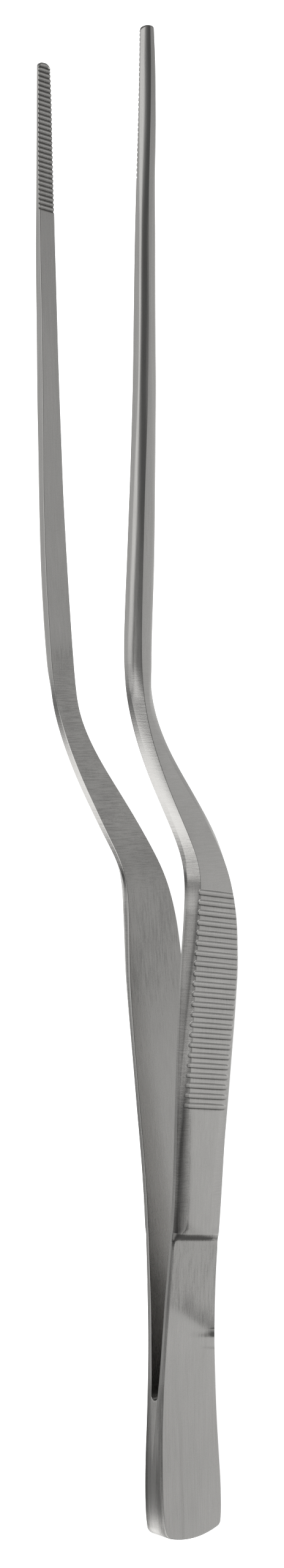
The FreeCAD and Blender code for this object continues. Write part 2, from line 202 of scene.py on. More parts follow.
def smooth(x, a, b):
    t = np.clip((np.asarray(x, float) - a) / (b - a), 0.0, 1.0)
    return t * t * (3.0 - 2.0 * t)


def bottom(x):
    z = bottom_curve(x)
    for a, b in (HEEL_FLAT, BELLY_FLAT):
        z = np.where((x >= a) & (x <= b), 0.0, z)
    return z


def inner(x):
    return np.where(x <= WELD_START_X, 0.0, np.maximum(0.0, inner_curve(x)))


def soft_max(a, b, k):
    d = np.clip(0.5 + 0.5 * (a - b) / k, 0.0, 1.0)
    return b + (a - b) * d + k * d * (1.0 - d)


# ------------------------------------------------------------ leg as a grid
# profile of a leg, as the kinds of point it is made of
N_INNER = 14       # inner face
N_FILLET = 6       # each small edge fillet
N_SIDE = 4         # flat part of a narrow side
N_SHOULDER = 22    # rounded shoulder
N_OUTER = 18       # outer flat


def profile(u, x, side_sign):
    """Points of the section for station u at arrays x (stations, points).

    x may differ from point to point of a station, because the stations lean
    with the grooves and teeth.
    """
    zt, zb = top(x), bottom(x)
    ni = inner(x)
    # small radii of the inner face's edges, upper and lower
    ri = 0.004 + 0.095 * smooth(x, 19.6, 22.5) + 0.11 * smooth(x, 174, 188)
    rl = 0.004 + 0.075 * smooth(x, 19.6, 22.5) - 0.02 * smooth(x, 170, 180)
    t = np.clip((u - LEAF_END_X) / (STEP_END_X - LEAF_END_X), 0.0, 1.0)
    t = t + 0.0 * x
    # the step: hollow at its foot, and its side corner rounded off
    ts = smooth(u, LEAF_END_X + 0.1, STEP_END_X + 0.9) + 0.0 * x
    tf = np.where(t < 0.2, 2.25 * t * t, 0.09 + (t - 0.2) * 1.1375)
    lo, le, lh = leaf_outer(x), leaf_edge(x), leaf_shoulder(x)
    ao, asd, ah = arm_outer(x), arm_side(x), arm_shoulder(x)
    no = lo + tf * (ao - lo)
    ns = (lo - le) + ts * ((ni + asd) - (lo - le))
    # the leaf's shoulder widens into the step like a rounded corner
    e = np.clip((u - LEAF_END_X + 0.9) / 1.25, 0.0, 1.0)
    widen = 1.1 * (1 - np.sqrt(1 - e * e)) * (1 - smooth(u, 41.5, 44.0))
    hh = np.maximum(lh + ts * (ah - lh), lh + widen)
    hl = hh - JAW_LOWER_LESS * smooth(x, *JAW_FORM)
    return zt, zb, ni, ri, rl, no, ns, hh, hl


def kinds():
    """One entry per profile point: (kind, parameter, upper half or not)."""
    out = []
    for k in range(N_INNER + 1):
        s = 0.5 - 0.5 * math.cos(math.pi * k / N_INNER)
        out.append(("inner", s, 0))
    for k in range(1, N_FILLET + 1):
        out.append(("ifil", k / (N_FILLET + 1.0), 1))
    for k in range(N_SIDE + 1):
        out.append(("side", k / float(N_SIDE), 1))
    for k in range(1, N_SHOULDER + 1):
        out.append(("shoulder", k / float(N_SHOULDER), 1))
    for k in range(1, N_FILLET + 1):
        out.append(("ofil", k / (N_FILLET + 1.0), 1))
    for k in range(N_OUTER + 1):
        s = 0.5 - 0.5 * math.cos(math.pi * k / N_OUTER)
        out.append(("outer", s, 0))
    for k in range(N_FILLET, 0, -1):
        out.append(("ofil", k / (N_FILLET + 1.0), -1))
    for k in range(N_SHOULDER, 0, -1):
        out.append(("shoulder", k / float(N_SHOULDER), -1))
    for k in range(N_SIDE, -1, -1):
        out.append(("side", k / float(N_SIDE), -1))
    for k in range(N_FILLET, 0, -1):
        out.append(("ifil", k / (N_FILLET + 1.0), -1))
    return out


KINDS = kinds()


def evaluate(u, x, inset, inset_inner, inset_z):
    """(n, z) of every profile point. u, x: (stations, points)."""
    zt, zb, ni, ri, rl, no, ns, hh, hl = profile(u, x, 1)
    no = no - inset
    zt = zt - inset_z[0]
    zb = zb + inset_z[1]
    ni = ni + inset_inner
    ns = np.maximum(np.minimum(ns, no - 0.08), ni + ri + 0.02)
    hh = np.minimum(hh, 0.48 * (zt - zb))
    hl = np.minimum(hl, 0.48 * (zt - zb))
    # the outer flat is very slightly crowned
    crowns = 0.0075 * np.maximum(zt - zb - hh - hl, 0.2)
    no_top = no
    no = no - crowns
    jaw = smooth(x, *JAW_FORM)
    grip = smooth(x, LEAF_END_X, STEP_END_X) * (1 - smooth(x, *GRIP_FORM))
    ramp = smooth(x, RAMP_FORM[0], RAMP_FORM[1]) \
        * (1 - smooth(x, RAMP_FORM[2], RAMP_FORM[3]))
    end = SHOULDER_END + jaw * (JAW_SHOULDER_END - SHOULDER_END) \
        + grip * (GRIP_SHOULDER_END - SHOULDER_END)
    bevel = JAW_BEVEL * jaw + RAMP_BEVEL * ramp
    a = (no - ns) / np.sin(end)
    bu = hh / (1.0 - np.cos(end))
    bl = hl / (1.0 - np.cos(end))
    rf = 0.045                               # fillet of the crisp edge
    n = np.zeros_like(x)
    z = np.zeros_like(x)
    for j, (kind, s, half) in enumerate(KINDS):
        c = (slice(None), j)
        zt_, zb_, ni_ = zt[c], zb[c], ni[c]
        ri_ = ri[c] if half > 0 else rl[c]
        no_, ns_, a_, q_, crown = no[c], ns[c], a[c], bevel[c], crowns[c]
        hh_, b_ = (hl[c], bl[c]) if half < 0 else (hh[c], bu[c])
        # the shoulder stops short of the flat by the small fillet
        pt = end[c] - rf / np.maximum(0.5 * (a_ + b_), 0.2)

        def shoulder(f):
            g = f * pt / end[c]
            return (ns_ + (1 - q_) * a_ * np.sin(f * pt) + q_ * g * (no_ - ns_),
                    (1 - q_) * b_ * (1 - np.cos(f * pt)) + q_ * g * hh_)
        if kind == "inner":
            n[c] = ni_
            z[c] = zb_ + rl[c] + s * (zt_ - zb_ - rl[c] - ri[c])
            continue
        if kind == "outer":
            z0, z1 = zt_ - hh_ - rf, zb_ + hl[c] + rf
            z[c] = z0 + s * (z1 - z0)
            n[c] = no_ + crown * (4 * s * (1 - s))
            continue
        if kind == "ifil":
            nn = (1 - s) ** 2 * ni_ + 2 * s * (1 - s) * ni_ + s * s * (ni_ + ri_)
            dz = (1 - s) ** 2 * ri_
        elif kind == "side":
            nn = ni_ + ri_ + s * (ns_ - ni_ - ri_)
            dz = 0.0 * nn
        elif kind == "shoulder":
            nn, dz = shoulder(s)
        else:
            p1n, p1z = shoulder(1.0)
            pcn = no_
            pcz = hh_
            p2n = no_
            p2z = hh_ + rf
            nn = (1 - s) ** 2 * p1n + 2 * s * (1 - s) * pcn + s * s * p2n
            dz = (1 - s) ** 2 * p1z + 2 * s * (1 - s) * pcz + s * s * p2z
        n[c] = nn
        z[c] = zt_ - dz if half > 0 else zb_ + dz
    # the butt's narrow sides fall away a little to both sides
    mid, half_h = 0.5 * (zt + zb), 0.5 * (zt - zb)
    z = z - BUTT_CROWN * (1 - smooth(x, 14, 24)) * n * n * (z - mid) / half_h
    return n, z, no_top, ni


# a thumb groove's form: gentle wall towards the tips, steep one towards the
# butt; position in half widths, depth in full depths
GROOVE_HALF = 0.40
GROOVE_FORM = ([-1.12, -1.03, -0.97, -0.90, -0.78, -0.62, -0.35, -0.05,
                0.30, 0.60, 0.82, 0.95, 1.05, 1.15],
               [0.0, 0.02, 0.14, 0.42, 0.68, 0.86, 0.97, 1.0,
                0.93, 0.72, 0.42, 0.17, 0.04, 0.0])


def groove_place(u):
    """Place across the nearest thumb groove, in half widths."""
    k = np.round((GROOVE_FIRST_X - u) / GROOVE_PITCH)
    k = np.clip(k, 0, GROOVE_COUNT - 1)
    return (u - (GROOVE_FIRST_X - k * GROOVE_PITCH)) / GROOVE_HALF


def groove_depth(u):
    """Depth of the thumb grooves below the outer flat."""
    return 0.20 * np.interp(groove_place(u), *GROOVE_FORM)


def tooth_depth(u, side):
    """Depth of the V grooves of the jaw below the inner face."""
    first = TOOTH_START_X + (0.0 if side > 0 else 0.5 * TOOTH_PITCH)
    k = np.round((u - first) / TOOTH_PITCH)
    k = np.clip(k, 0, TOOTH_COUNT - 1)
    du = np.abs(u - (first + k * TOOTH_PITCH))
    half = 0.40 * TOOTH_PITCH
    du = np.sqrt(du * du + 0.02 ** 2)
    raw = TOOTH_DEPTH * (1.0 - du / half)
    d = soft_max(raw, 0.0 * raw, 0.02)
    return d * (first + k * TOOTH_PITCH < LENGTH - 0.3)


def stations(side):
    """Where the grid has its lines, closer where there is detail."""
    marks = {0.0, LENGTH}
    # end roundings
    for d in (0.006, 0.02, 0.045, 0.08, 0.12, 0.17, 0.22, 0.28, 0.36, 0.46,
              0.6, 0.8, 1.05, 1.35, 1.7, 2.1, 2.6, 3.2):
        marks.add(d)
        if d < 1.2:
            marks.add(LENGTH - d)
    x = 3.2
    while x < LENGTH - 1.2:
        marks.add(round(x, 4))
        if 87 < x < 122:
            x += 0.25
        elif x < 24:
            x += 0.4
        else:
            x += 0.5
    # the step from the spring leaf to the handle
    for c in (LEAF_END_X, STEP_END_X):
        for d in (-0.12, -0.06, -0.03, 0.0, 0.03, 0.06, 0.12):
            marks.add(round(c + d, 4))
    for k in range(1, 6):
        marks.add(LEAF_END_X + k * (STEP_END_X - LEAF_END_X) / 6.0)
    # thumb grooves
    for k in range(GROOVE_COUNT):
        c = GROOVE_FIRST_X - k * GROOVE_PITCH
        for d in GROOVE_FORM[0] + [-1.4, -0.4, -0.08, 0.28, 0.6, 0.82, 1.4]:
            marks.add(round(c + d * GROOVE_HALF, 4))
    # jaw teeth
    first = TOOTH_START_X + (0.0 if side > 0 else 0.5 * TOOTH_PITCH)
    half = 0.40 * TOOTH_PITCH
    for k in range(TOOTH_COUNT):
        c = first + k * TOOTH_PITCH
        if c > LENGTH - 0.3:
            continue
        for d in (0.0, 0.02, 0.045, 0.1, 0.17, half - 0.05, half - 0.015,
                  half + 0.02):
            marks.add(round(c + d, 4))
            marks.add(round(c - d, 4))
    marks = sorted(marks)
    out = [marks[0]]
    for m in marks[1:]:
        if m - out[-1] > 0.012 or m - out[-1] > 0.0045 and m < 0.1:
            out.append(m)
    out[-1] = LENGTH
    return np.array(out)


def leg_points(side):
    us = stations(side)
    nu, nj = len(us), len(KINDS)
    u = np.repeat(us[:, None], nj, axis=1)
    zc = 0.5 * (top(u) + bottom(u))
    # lean of the grid lines
    lean = GROOVE_SLANT * smooth(u, 28, 38) * (1 - smooth(u, 90, 108)) \
        + TOOTH_SLANT * smooth(u, 158, 172) * (1 - smooth(u, 199.0, 200.0))
    # insets that round the ends
    re_b, re_t = 0.20, 0.26
    ib = re_b - np.sqrt(np.maximum(re_b ** 2
                                   - np.clip(re_b - u, 0, re_b) ** 2, 0))
    s_tip = LENGTH - u
    it = re_t - np.sqrt(np.maximum(re_t ** 2
                                   - np.clip(re_t - s_tip, 0, re_t) ** 2, 0))
    inset = ib + it
    inset_z = [it + rc - np.sqrt(np.maximum(
        rc * rc - np.clip(rc - u, 0, rc) ** 2, 0))
        for rc in (BUTT_CORNER_R, BUTT_LOW_CORNER_R)]
    n, z, no, ni = evaluate(u, u, inset, it, inset_z)
    x = u.copy()
    zc3 = float(0.5 * (top(3.0) + bottom(np.array(3.0))))
    hw3 = float(0.5 * (top(3.0) - bottom(np.array(3.0))))
    r = (hw3 ** 2 + BUTT_SAGITTA ** 2) / (2 * BUTT_SAGITTA)
    for _ in range(3):
        x = u + lean * (z - zc)
        # butt end outline
        zz = z - zc3
        crown = r - np.sqrt(np.maximum(r * r - zz * zz, 0.0))
        w = np.clip(1 - u / 8.0, 0, 1) ** 2
        x = x + w * crown
        # tip outline
        ztip, zbtip = float(top(199.4)), float(bottom(np.array(199.4)))
        xt = 0.0
        for rc, d in ((TIP_CORNER_TOP_R, z - (ztip - TIP_CORNER_TOP_R)),
                      (TIP_CORNER_BOTTOM_R, (zbtip + TIP_CORNER_BOTTOM_R) - z)):
            d = np.clip(d, 0.0, rc)
            xt = xt + rc - np.sqrt(np.maximum(rc * rc - d * d, 0.0))
        w = np.clip(1 - s_tip / 1.6, 0, 1) ** 2
        x = x - w * xt
        n, z, no, ni = evaluate(u, x, inset, it, inset_z)
    # thumb grooves, cut below the outer flat only
    g = groove_depth(u)
    cut = no - 0.022 - g
    zone = smooth(u, 57.4, 58.0) * (1 - smooth(u, 87.75, 88.3))
    outer_side = np.array([k[0] in ("outer", "ofil", "shoulder", "side")
                           for k in KINDS])[None, :]
    lower = -soft_max(-n, -cut, 0.012)
    n = np.where(outer_side & (g > 0.0), n + zone * (np.minimum(lower, n) - n), n)
    # jaw teeth, on the inner face and its edge fillets
    d = tooth_depth(u, side)
    limit = ni + d
    innerish = np.array([k[0] in ("inner", "ifil", "side")
                         for k in KINDS])[None, :]
    n = np.where(innerish, np.maximum(n, limit), n)
    # painted shade: darker along the edges of the thumb grooves and in the valleys of the jaw teeth
    q = groove_place(u)
    dark = np.interp(q, [-1.30, -1.06, -0.80, -0.55], [0, 0.55, 0.45, 0]) \
        + np.interp(q, [-0.5, -0.25, 0.1, 0.3], [0, 0.16, 0.16, 0]) \
        + np.interp(q, [0.88, 0.98, 1.08, 1.2], [0, 0.40, 0.40, 0])
    onface = np.array([k[0] in ("outer", "ofil", "shoulder")
                       for k in KINDS])[None, :]
    reach = np.clip((g + 0.06 - np.maximum(cut + g - n, 0)) / 0.06, 0, 1)
    painted_shade = dark * zone * onface * reach
    inn = np.array([k[0] in ("inner", "ifil") for k in KINDS])[None, :]
    painted_shade = painted_shade + inn * np.clip(d / TOOTH_DEPTH, 0, 1) ** 1.5
    # painted shade on the rounded shoulders from the butt up to the ramp, and
    # on the step; a fine painted dark line follows the edge of the ramp's bevel
    rolled = np.array([float(np.interp(k[1], [0, 0.60, 1.0], [1, 1, 0.62]))
                       if k[0] == "shoulder" and k[2] > 0 else 0.0
                       for k in KINDS])[None, :]
    painted_shade = painted_shade + rolled * (
        0.72 * (1 - smooth(x, 39.5, 41.0))
        + (0.56 + 0.24 * (1 - smooth(x, 56, 66))) * smooth(x, 39.5, 41.0)
        * (1 - smooth(x, 84.0, 89.0)))
    # below the grooves the painted shade runs out softly onto the wide face
    soft = np.array([0.60 if k[0] == "ofil" and k[2] > 0 else
                     0.60 * max(0.0, 1 - k[1] / 0.13) if k[0] == "outer"
                     else 0.0 for k in KINDS])[None, :]
    painted_shade = painted_shade + 0.80 * soft * smooth(x, 41.0, 42.0) \
        * (1 - smooth(x, 56, 62))
    # painted shade on the upper shoulder and narrow side at the ramp's bend
    upper = np.array([k[0] in ("shoulder", "side") and k[2] > 0
                      for k in KINDS])[None, :] * 1.0
    painted_shade = painted_shade + upper * 0.58 * smooth(x, 86, 89) \
        * (1 - smooth(x, 91, 98))
    # painted shade on the narrow side, darker towards its outer edge near the butt, and at the ramp's bend
    narrow = np.array([k[0] == "side" and k[2] > 0
                       for k in KINDS])[None, :] * 1.0
    painted_shade = painted_shade + narrow * (
        0.75 * np.clip(n / 1.6, 0, 1) * (1 - smooth(x, 18, 26))
        + 0.30 * smooth(x, 90, 93) * (1 - smooth(x, 97, 102)))
    # painted shade on the inner face along the handle and the ramp
    flat = np.array([k[0] == "inner" for k in KINDS])[None, :] * 1.0
    painted_shade = painted_shade + flat * 0.40 * smooth(x, 62, 76) \
        * (1 - smooth(x, 119, 124))
    # painted dark line along the crease of the ramp's bevel
    crease = np.array([k[0] == "ofil" and k[2] > 0
                       for k in KINDS])[None, :] * 1.0
    painted_shade = painted_shade + crease * 0.75 * smooth(x, 85, 90) \
        * (1 - smooth(x, 112, 120))
    # painted shade: dark and light bands across the step
    du = u - LEAF_END_X
    lines = np.interp(du, [-0.05, 0.05, 0.18, 0.24, 0.34, 0.42, 0.62, 0.70,
                           0.80, 0.88, 1.0, 1.08],
                      [0, 0.10, 0.35, 0.52, 0.52, 0.78, 0.78, 0.55, 0.55,
                       0.60, 0.15, 0.0])
    painted_shade = painted_shade + lines * onface
    polish = np.array([1.0 if k[0] in ("side", "shoulder", "ifil", "ofil")
                       else 0.0 for k in KINDS])[None, :] + 0.0 * x
    outer = np.array([1.0 if k[0] in ("outer", "ofil") else 0.0
                      for k in KINDS])[None, :] + 0.0 * x
    return us, x, n, z, np.clip(painted_shade, 0, 1), polish, outer


def signed_volume(v, faces):
    vol = 0.0
    tri = []
    for f in faces:
        for k in range(1, len(f) - 1):
            tri.append((f[0], f[k], f[k + 1]))
    t = np.array(tri)
    a, b, c = v[t[:, 0]], v[t[:, 1]], v[t[:, 2]]
    return float(np.einsum("ij,ij->i", a, np.cross(b, c)).sum() / 6.0)


def ladder(a, b, z):
    """Triangles between two chains of point numbers, both from low z up."""
    out = []
    i = k = 0
    while i < len(a) - 1 or k < len(b) - 1:
        if k == len(b) - 1 or (i < len(a) - 1
                               and z[a[i + 1]] <= z[b[k + 1]]):
            out.append((a[i], a[i + 1], b[k]))
            i += 1
        else:
            out.append((a[i], b[k + 1], b[k]))
            k += 1
    return out


def build_leg(name, side):
    us, x, n, z, painted_shade, polish, outer = leg_points(side)
    nu, nj = x.shape
    v = np.stack([x - 0.5 * LENGTH, side * n, z], axis=2).reshape(-1, 3)
    faces = []
    for i in range(nu - 1):
        b0 = i * nj
        b1 = b0 + nj
        for j in range(nj):
            j2 = (j + 1) % nj
            faces.append((b0 + j, b0 + j2, b1 + j2, b1 + j))
    # end caps: the inner face against the rest of the profile
    zz = v[:, 2]
    for i, flip in ((0, False), (nu - 1, True)):
        base = i * nj
        a = [base + j for j in range(N_INNER + 1)]
        rest = [base + j for j in range(nj - 1, N_INNER, -1)]
        # from the lower inner corner round the outside to the upper one
        chain = [a[0]] + rest + [a[-1]]
        tris = ladder(a, chain, zz)
        tris = [t for t in tris if len(set(t)) == 3]
        faces += [tuple(reversed(t)) if flip else t for t in tris]
    v *= MM
    if signed_volume(v, faces) < 0:
        faces = [tuple(reversed(f)) for f in faces]
    me = bpy.data.meshes.new(name)
    me.from_pydata(v.tolist(), [], faces)
    # the painted shade is passed to the material as a point attribute
    at = me.attributes.new("painted_shade", "FLOAT", "POINT")
    at.data.foreach_set("value", painted_shade.reshape(-1).astype(np.float32))
    at = me.attributes.new("polish", "FLOAT", "POINT")
    at.data.foreach_set("value", polish.reshape(-1).astype(np.float32))
    at = me.attributes.new("outer", "FLOAT", "POINT")
    at.data.foreach_set("value", outer.reshape(-1).astype(np.float32))
    me.validate()
    me.update()
    me.polygons.foreach_set("use_smooth", [True] * len(me.polygons))
    me.set_sharp_from_angle(angle=math.radians(38))
    ob = bpy.data.objects.new(name, me)
    bpy.context.scene.collection.objects.link(ob)
    return ob


def build_weld(name):
    """Weld metal between the halves, with the rounded bottom of the slot."""
    nv, na = 12, 30
    rim = 0.13
    rows = []
    cx = SLOT_END_X + SLOT_END_R
    a_s = list(np.linspace(0, 1, na + 1))
    ys = np.linspace(-1, 1, nv + 1)
    top_pts, bot_pts = [], []
    for a in a_s:
        rt, rb = [], []
        for t in ys:
            ye = t * 0.60
            xe = cx - math.sqrt(max(SLOT_END_R ** 2 - ye ** 2, 0.0))
            x = WELD_START_X + a * (xe - WELD_START_X)
            w = max(0.004, float(inner(np.array(x))))
            y = t * w
            drop = BUTT_CROWN * (1 - float(smooth(x, 14, 24))) * y * y
            rt.append((x, y, float(top(x)) - drop))
            rb.append((x, y, float(bottom(np.array(x))) + drop))
        top_pts.append(rt)
        bot_pts.append(rb)
    # the last rows are lowered to round the slot's rim
    verts = []
    faces = []

    def row(pts):
        base = len(verts)
        verts.extend(pts)
        return base

    tb = [row(r) for r in top_pts]
    # rounded rim down into the slot, then the slot's bottom wall
    arcs = []
    last_t, last_b = top_pts[-1], bot_pts[-1]
    cols = []
    for k in range(1, 6):
        th = 0.5 * math.pi * k / 5.0
        cols.append((rim * math.sin(th), rim * (1 - math.cos(th))))
    for dx, dz in cols:
        arcs.append(row([(p[0] + dx, p[1], p[2] - dz) for p in last_t]))
    wall = []
    for f in np.linspace(0, 1, 9)[1:-1]:
        pts = []
        for p, q in zip(last_t, last_b):
            z0, z1 = p[2] - rim, q[2] + rim
            pts.append((p[0] + rim, p[1], z0 + f * (z1 - z0)))
        wall.append(row(pts))
    arcs_b = []
    for dx, dz in reversed(cols):
        arcs_b.append(row([(p[0] + dx, p[1], p[2] + dz) for p in last_b]))
    bb = [row(r) for r in reversed(bot_pts)]
    seq = tb + arcs + wall + arcs_b + bb
    for s0, s1 in zip(seq[:-1], seq[1:]):
        for j in range(nv):
            faces.append((s0 + j, s0 + j + 1, s1 + j + 1, s1 + j))
    # sides against the halves, and the thin front edge
    for j, flip in ((0, False), (nv, True)):
        for k in range(na):
            a0, a1 = tb[k] + j, tb[k + 1] + j
            b0, b1 = bb[len(bb) - 1 - k] + j, bb[len(bb) - 2 - k] + j
            f = (a0, a1, b1, b0)
            faces.append(tuple(reversed(f)) if flip else f)
        ring = [tb[-1] + j] + [s + j for s in arcs + wall + arcs_b] + [bb[0] + j]
        faces.append(tuple(reversed(ring)) if not flip else tuple(ring))
    t0, b0 = tb[0], bb[-1]
    for j in range(nv):
        faces.append((t0 + j + 1, t0 + j, b0 + j, b0 + j + 1))
    v = np.array(verts, float)
    # the rim's points beyond the end stay between the legs
    for k in range(len(v)):
        lim = max(0.004, float(inner(np.array(v[k, 0]))))
        v[k, 1] = max(-lim, min(lim, v[k, 1]))
    v[:, 0] -= 0.5 * LENGTH
    v *= MM
    me = bpy.data.meshes.new(name)
    me.from_pydata(v.tolist(), [], faces)
    me.validate()
    import bmesh
    bm = bmesh.new()
    bm.from_mesh(me)
    bmesh.ops.recalc_face_normals(bm, faces=bm.faces)
    bm.to_mesh(me)
    bm.free()
    me.update()
    me.polygons.foreach_set("use_smooth", [True] * len(me.polygons))
    me.set_sharp_from_angle(angle=math.radians(38))
    ob = bpy.data.objects.new(name, me)
    bpy.context.scene.collection.objects.link(ob)
    return ob


# ---------------------------------------------------------------- materials
class Nodes:
    """Small helper to write node trees briefly."""

    def __init__(self, mat):
        self.t = mat.node_tree
        self.n = mat.node_tree.nodes
        self.l = mat.node_tree.links

    def add(self, kind, **settings):
        node = self.n.new(kind)
        for k, v in settings.items():
            setattr(node, k, v)
        return node

    def link(self, a, b):
        self.l.new(a, b)

    def math(self, op, a, b=None, c=None, clamp=False):
        node = self.n.new("ShaderNodeMath")
        node.operation = op
        node.use_clamp = clamp
        for i, v in enumerate((a, b, c)):
            if v is None:
                continue
            if isinstance(v, (int, float)):
                node.inputs[i].default_value = v
            else:
                self.l.new(v, node.inputs[i])
        return node.outputs[0]

    def ramp(self, fac, stops):
        node = self.n.new("ShaderNodeValToRGB")
        e = node.color_ramp.elements
        while len(e) < len(stops):
            e.new(0.5)
        for el, (p, c) in zip(e, stops):
            el.position = p
            el.color = (c, c, c, 1) if isinstance(c, (int, float)) else (*c, 1)
        self.l.new(fac, node.inputs[0])
        return node.outputs[0]

    def maprange(self, v, a, b, c=0.0, d=1.0):
        node = self.n.new("ShaderNodeMapRange")
        node.interpolation_type = "SMOOTHSTEP"
        self.l.new(v, node.inputs[0])
        for i, q in enumerate((a, b, c, d)):
            node.inputs[i + 1].default_value = q
        return node.outputs[0]

    def noise(self, vec, scale, detail=2.0, rough=0.5, dist=0.0):
        node = self.n.new("ShaderNodeTexNoise")
        self.l.new(vec, node.inputs["Vector"])
        node.inputs["Scale"].default_value = scale
        node.inputs["Detail"].default_value = detail
        node.inputs["Roughness"].default_value = rough
        node.inputs["Distortion"].default_value = dist
        return node.outputs["Fac"]

    def mapping(self, vec, scale, rot=(0, 0, 0)):
        node = self.n.new("ShaderNodeMapping")
        self.l.new(vec, node.inputs["Vector"])
        node.inputs["Scale"].default_value = scale
        node.inputs["Rotation"].default_value = rot
        return node.outputs[0]

    def mix(self, fac, a, b):
        node = self.n.new("ShaderNodeMix")
        node.data_type = "FLOAT"
        for s, v in ((node.inputs[0], fac), (node.inputs[2], a),
                     (node.inputs[3], b)):
            if isinstance(v, (int, float)):
                s.default_value = v
            else:
                self.l.new(v, s)
        return node.outputs[0]


def hollow_shade(nt, px, pz):
    """Painted shade standing in for the reflections of the leaf's ground hollow, and a thin dark line on the
    butt.

    px and pz are in millimetres, px from mid-length.
    """
    outer = nt.add("ShaderNodeAttribute", attribute_name="outer").outputs["Fac"]

    def band(at_x, slant, rise, peak, fall):
        d = nt.math("SUBTRACT", px, nt.math("ADD", nt.math(
            "MULTIPLY", pz, slant), at_x - 100.0))
        return nt.math("MULTIPLY", nt.maprange(d, *rise),
                       nt.maprange(d, fall[1], fall[0]))

    # painted broad shade from the hollow up to the step
    broad = nt.math("MULTIPLY", band(26.0, 0.60, (-0.8, 1.2), 0, (12.0, 13.6)),
                    0.19)
    broad = nt.math("ADD", broad, nt.math(
        "MULTIPLY", nt.math("MULTIPLY", band(26.0, 0.60, (-0.5, 0.5), 0, (0.6, 4.6)),
                            nt.maprange(pz, 12.0, 2.0)), 0.14))
    # two short painted dark streaks of the hollow's shade from the lower edge
    one = nt.math("MULTIPLY", nt.math(
        "MULTIPLY", band(26.6, 0.15, (-0.45, 0.0), 0, (0.1, 0.9)),
        nt.maprange(pz, 6.8, 0.9)), 0.42)
    two = nt.math("MULTIPLY", nt.math(
        "MULTIPLY", band(24.8, 0.20, (-0.25, 0.0), 0, (0.05, 0.4)),
        nt.maprange(pz, 4.5, 0.9)), 0.26)
    # a short painted dark tick of the hollow's shade
    tick = nt.math("MULTIPLY", nt.math(
        "MULTIPLY", band(27.7, 0.1, (-0.12, 0.0), 0, (0.0, 0.16)),
        nt.maprange(pz, 2.6, 1.4)), 0.22)
    # a thin lengthwise dark line on the butt
    d = nt.math("ABSOLUTE", nt.math("SUBTRACT", pz, 7.35))
    line = nt.math("MULTIPLY", nt.math("MULTIPLY", nt.maprange(d, 0.45, 0.1),
                                       nt.maprange(px, -82, -88)), 0.13)
    total = nt.math("ADD", nt.math("ADD", broad, one),
                    nt.math("ADD", nt.math("ADD", two, tick), line))
    return nt.math("MULTIPLY", total, outer)


